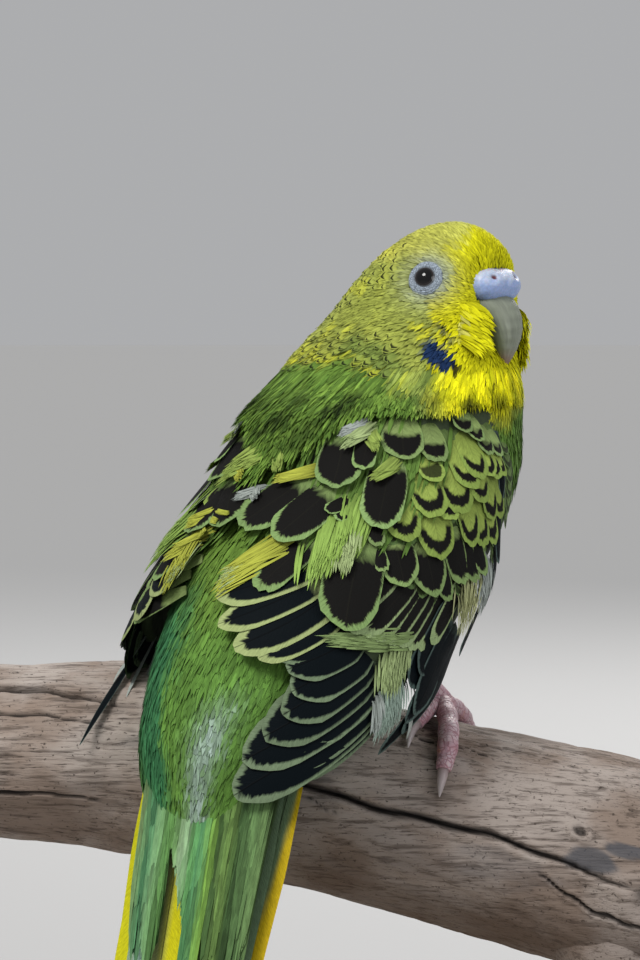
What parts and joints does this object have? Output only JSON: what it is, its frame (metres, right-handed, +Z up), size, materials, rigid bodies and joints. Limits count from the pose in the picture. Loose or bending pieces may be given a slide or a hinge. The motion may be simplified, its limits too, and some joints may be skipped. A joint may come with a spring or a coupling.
{
  "type": "budgerigar",
  "caption": "Still life-size budgerigar gripping a cut length of branch, head turned to its right, on a plain two-rod display stand.",
  "frame": {"origin": "centre of the stand base's flat underside", "axes": "+Z up out of the base; +X along the branch, towards the side the bird looks to; +Y away from the viewer, the bird showing its back and right side to -Y"},
  "size_m": [0.162, 0.11, 0.1788],
  "materials": {
    "plumage_head": "yellow forehead, bib and face, feathers barred dark on the back of the head",
    "plumage_body": "green contour feathers, turquoise on the rump",
    "plumage_tail": "green and blue-green tail feathers, yellow at the sides",
    "plumage_wing": "dark brown and blue-black feathers with yellow-green edges",
    "beak": "grey olive horn, smooth",
    "cere": "pale lilac-blue bare skin",
    "eye": "black, wet",
    "foot_skin": "pink scaly skin",
    "claw": "grey horn with pale tips",
    "branch": "weathered bare driftwood, cracked",
    "stand_base": "dark satin wood",
    "stand_rod": "brushed"
  },
  "bodies": {
    "root": {"beak_lower": "beak", "beak_upper": "beak", "cere": "cere", "claw_inner_front_left": "claw", "claw_inner_front_right": "claw", "claw_inner_rear_left": "claw", "claw_inner_rear_right": "claw", "claw_outer_front_left": "claw", "claw_outer_front_right": "claw", "claw_outer_rear_left": "claw", "claw_outer_rear_right": "claw", "eye_left": "eye", "eye_right": "eye", "head": "plumage_head", "leg_left": "foot_skin", "leg_right": "foot_skin", "neck": "plumage_body", "perch": "branch", "stand_base": "stand_base", "stand_rod_left": "stand_rod", "stand_rod_right": "stand_rod", "tail": "plumage_tail", "torso": "plumage_body", "wing_left": "plumage_wing", "wing_right": "plumage_wing"}
  },
  "joints": []
}
